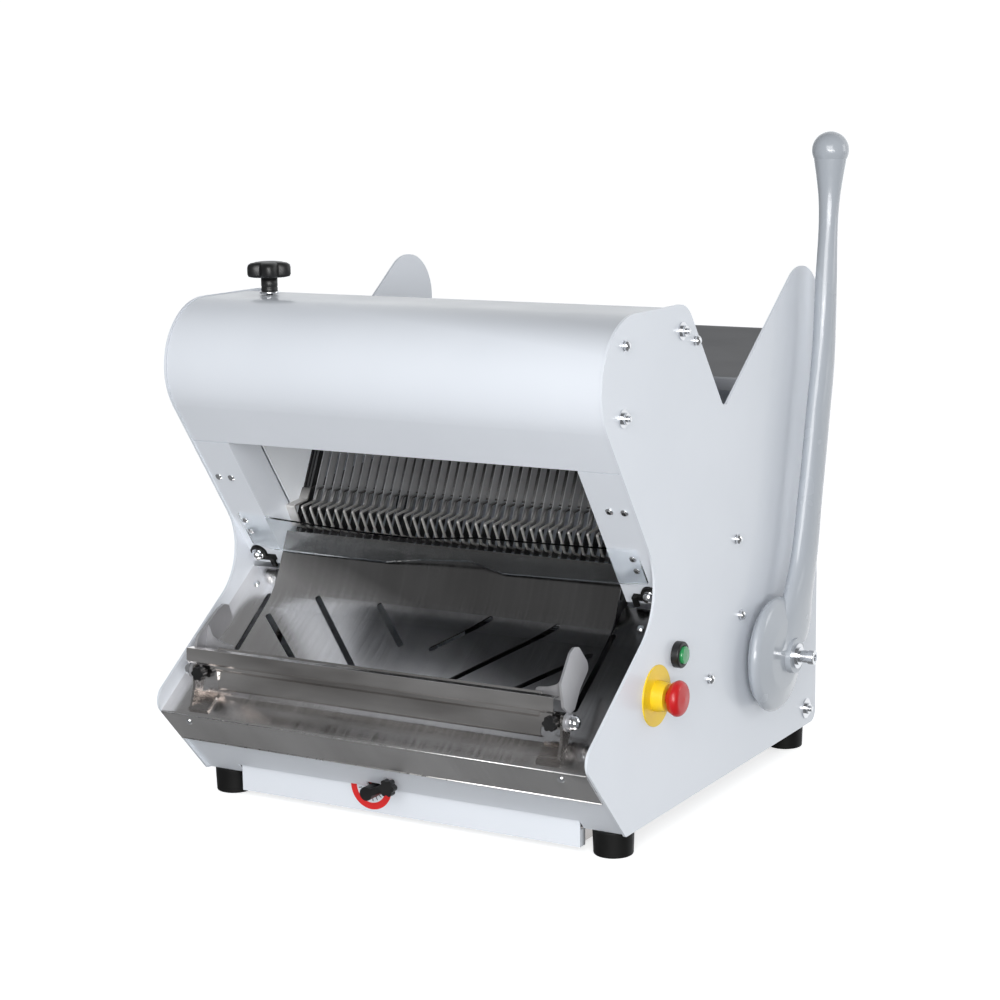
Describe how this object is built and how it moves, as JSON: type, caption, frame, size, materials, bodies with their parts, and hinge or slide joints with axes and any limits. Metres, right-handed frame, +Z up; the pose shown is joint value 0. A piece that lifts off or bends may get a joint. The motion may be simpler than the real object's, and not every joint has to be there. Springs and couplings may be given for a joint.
{
  "type": "bread slicer",
  "caption": "Counter-top bread slicer: hand lever feeds the loaf through twin reciprocating blade frames onto a sloping tray with a bag holder.",
  "frame": {"origin": "centre of the overall footprint, at the underside of the feet", "axes": "+X to the right seen from the front, +Y to the rear, +Z up; the slices leave towards -Y"},
  "size_m": [0.632, 0.6234, 0.762],
  "materials": {
    "white_paint": "smooth gloss powder coat",
    "stainless": "fine satin",
    "bright_steel": "polished",
    "blade_steel": "oiled",
    "dark_steel": "blackened, satin",
    "grey_iron": "machined",
    "grey_casting": "smooth painted casting",
    "dark_casting": "satin",
    "bronze": "turned",
    "black_rubber": "matte",
    "black_plastic": "satin",
    "clear_plastic": "clear polycarbonate",
    "green_plastic": "gloss",
    "yellow_plastic": "satin",
    "red_plastic": "gloss"
  },
  "bodies": {
    "housing": {"side_plate_left": "white_paint", "side_plate_right": "white_paint", "hood": "white_paint", "chute_front": "white_paint", "chute_rear": "white_paint", "rear_cover": "white_paint", "base_pan": "white_paint", "front_panel": "white_paint", "column_left": "white_paint", "column_right": "white_paint", "cheek_left": "white_paint", "cheek_right": "white_paint", "bed_comb": "stainless", "tray": "stainless", "tray_screws": "bright_steel", "guard": "clear_plastic", "front_screws": "bright_steel", "column_hooks": "black_rubber", "column_bolts": "bright_steel", "rubber_feet": "black_rubber", "plate_nuts": "bright_steel", "motor": "dark_casting", "drive_belt": "black_rubber", "crank_beam": "dark_casting", "guide_rails": "black_plastic", "pusher_rails": "bright_steel", "shaft_bushes": "bronze", "start_bezel": "black_plastic", "estop_collar": "yellow_plastic", "contact_blocks": "black_plastic", "bag_brackets": "stainless", "drawer_runners": "stainless", "cable_gland": "black_plastic", "control_box": "black_plastic"},
    "lever_assembly": {"lever": "grey_casting", "lever_shaft": "bright_steel", "lever_bolt": "bright_steel", "pusher_arms": "dark_casting"},
    "pusher": {"pusher_comb": "stainless", "pusher_carriage": "white_paint"},
    "front_blade_frame": {"blade_frame_front": "dark_steel", "blades_front": "blade_steel", "con_rod_front": "stainless"},
    "rear_blade_frame": {"blade_frame_rear": "dark_steel", "blades_rear": "blade_steel", "con_rod_rear": "stainless"},
    "crank": {"crank_shaft": "grey_iron", "driven_pulley": "grey_iron"},
    "motor_rotor": {"motor_pulley": "grey_iron"},
    "hood_knob_body": {"hood_knob": "black_plastic"},
    "start_button_body": {"start_button": "green_plastic"},
    "estop_button_body": {"estop_button": "red_plastic"},
    "bag_holder": {"bag_plate": "stainless", "bag_clamp_bar": "stainless", "bag_knobs": "black_plastic", "bag_domes": "bright_steel"},
    "wing_left": {"bag_wing_left": "stainless"},
    "wing_right": {"bag_wing_right": "stainless"},
    "drawer": {"crumb_drawer": "white_paint"},
    "latch": {"drawer_latch": "black_plastic"}
  },
  "joints": [
    {"name": "lever_swing", "type": "hinge", "parent": "housing", "child": "lever_assembly", "pos_m": [0.279, 0.14725, 0.149], "axis": [1, 0, 0], "range_deg": [0, 49]},
    {"name": "pusher_slide", "type": "slide", "parent": "housing", "child": "pusher", "axis": [0, -0.9976, -0.0698], "range_m": [0, 0.17]},
    {"name": "front_frame_stroke", "type": "slide", "parent": "housing", "child": "front_blade_frame", "axis": [0, 0.4226, 0.9063], "range_m": [-0.012, 0.012]},
    {"name": "rear_frame_stroke", "type": "slide", "parent": "housing", "child": "rear_blade_frame", "axis": [0, 0.4226, 0.9063], "range_m": [-0.012, 0.012]},
    {"name": "crank_spin", "type": "hinge", "parent": "housing", "child": "crank", "pos_m": [-0.026, -0.18041, 0.11842], "axis": [1, 0, 0], "continuous": true},
    {"name": "motor_spin", "type": "hinge", "parent": "housing", "child": "motor_rotor", "pos_m": [-0.076, 0.22225, 0.094], "axis": [1, 0, 0], "continuous": true},
    {"name": "hood_knob_turn", "type": "hinge", "parent": "housing", "child": "hood_knob_body", "pos_m": [-0.246, -0.14875, 0.6], "axis": [0, 0, 1], "continuous": true},
    {"name": "start_press", "type": "slide", "parent": "housing", "child": "start_button_body", "axis": [-1, 0, 0], "range_m": [0, 0.0035], "stiffness_N_per_m": 500, "springref_m": -0.002},
    {"name": "estop_press", "type": "slide", "parent": "housing", "child": "estop_button_body", "axis": [-1, 0, 0], "range_m": [0, 0.0035], "stiffness_N_per_m": 1500, "springref_m": -0.002},
    {"name": "bag_holder_tilt", "type": "hinge", "parent": "housing", "child": "bag_holder", "pos_m": [-0.026, -0.28375, 0.1655], "axis": [1, 0, 0], "range_deg": [-10, 20]},
    {"name": "wing_left_turn", "type": "hinge", "parent": "bag_holder", "child": "wing_left", "pos_m": [-0.269, -0.28375, 0.1655], "axis": [1, 0, 0], "range_deg": [-5, 10]},
    {"name": "wing_right_turn", "type": "hinge", "parent": "bag_holder", "child": "wing_right", "pos_m": [0.217, -0.28375, 0.1655], "axis": [1, 0, 0], "range_deg": [-5, 10]},
    {"name": "drawer_slide", "type": "slide", "parent": "housing", "child": "drawer", "axis": [0, -1, 0], "range_m": [0, 0.2]},
    {"name": "latch_turn", "type": "hinge", "parent": "drawer", "child": "latch", "pos_m": [-0.06, -0.22635, 0.0385], "axis": [0, 1, 0], "range_deg": [0, 50]}
  ],
  "couplings": [
    {"joint": "pusher_slide", "follows": "lever_swing", "m_per_rad": 0.1987},
    {"joint": "rear_frame_stroke", "follows": "front_frame_stroke", "ratio": -1},
    {"joint": "motor_spin", "follows": "crank_spin", "ratio": 1.8}
  ]
}
